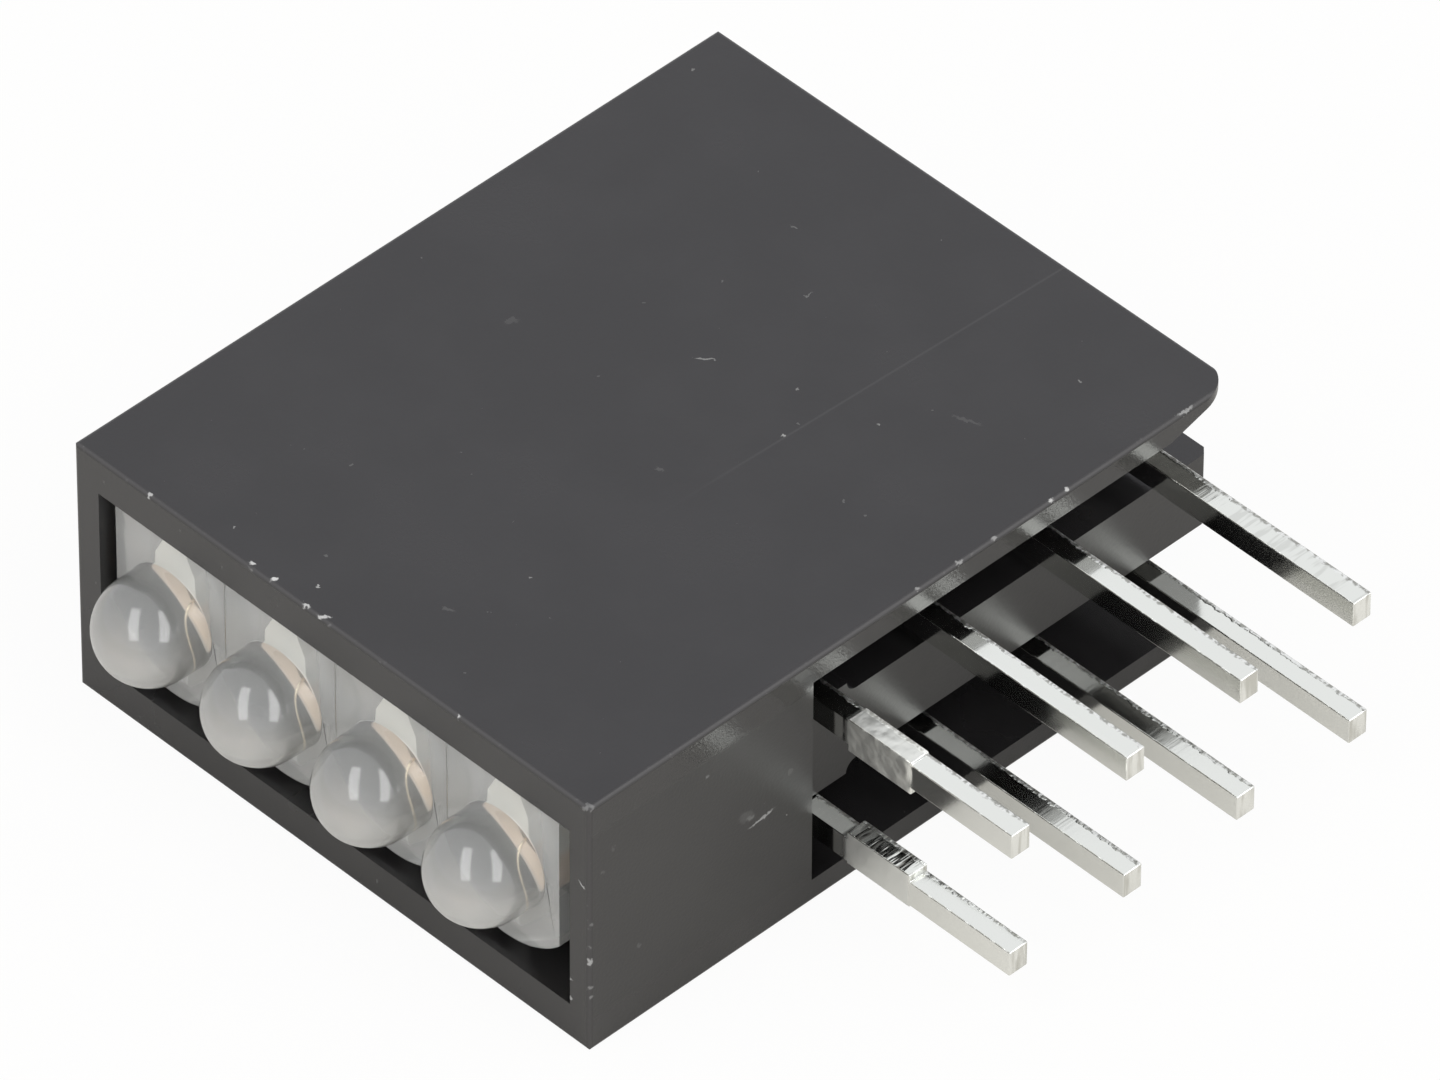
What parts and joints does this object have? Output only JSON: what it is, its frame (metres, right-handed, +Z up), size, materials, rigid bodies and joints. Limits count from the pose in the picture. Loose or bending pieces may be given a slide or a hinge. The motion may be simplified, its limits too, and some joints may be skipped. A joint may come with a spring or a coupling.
{
  "type": "pcb led indicator",
  "caption": "Right-angle circuit-board indicator: small domed lamps stacked in a dark moulded housing, with bent tinned leads, lying on its side.",
  "frame": {"origin": "centre of the lead grid, on the plane of the board and halfway through the housing's thickness", "axes": "+X runs along the lead pins, away from the housing and into the board; -Y is the way the lamps shine; +Z is up as the part lies on its side"},
  "size_m": [0.0159, 0.0154, 0.0052],
  "materials": {
    "housing": "dark grey moulded nylon with a fine satin grain",
    "lamp": "milky diffusing epoxy with a glossy moulded skin",
    "lead": "bright tin plate on sheared steel",
    "die": "sawn compound semiconductor",
    "wire": "fine drawn gold wire"
  },
  "bodies": {
    "root": {"housing": "housing", "lamp_1": "lamp", "lamp_2": "lamp", "lamp_3": "lamp", "lamp_4": "lamp", "cathode_1": "lead", "cathode_2": "lead", "cathode_3": "lead", "cathode_4": "lead", "anode_1": "lead", "anode_2": "lead", "anode_3": "lead", "anode_4": "lead", "die_1": "die", "die_2": "die", "die_3": "die", "die_4": "die", "wire_1": "wire", "wire_2": "wire", "wire_3": "wire", "wire_4": "wire"}
  },
  "joints": []
}
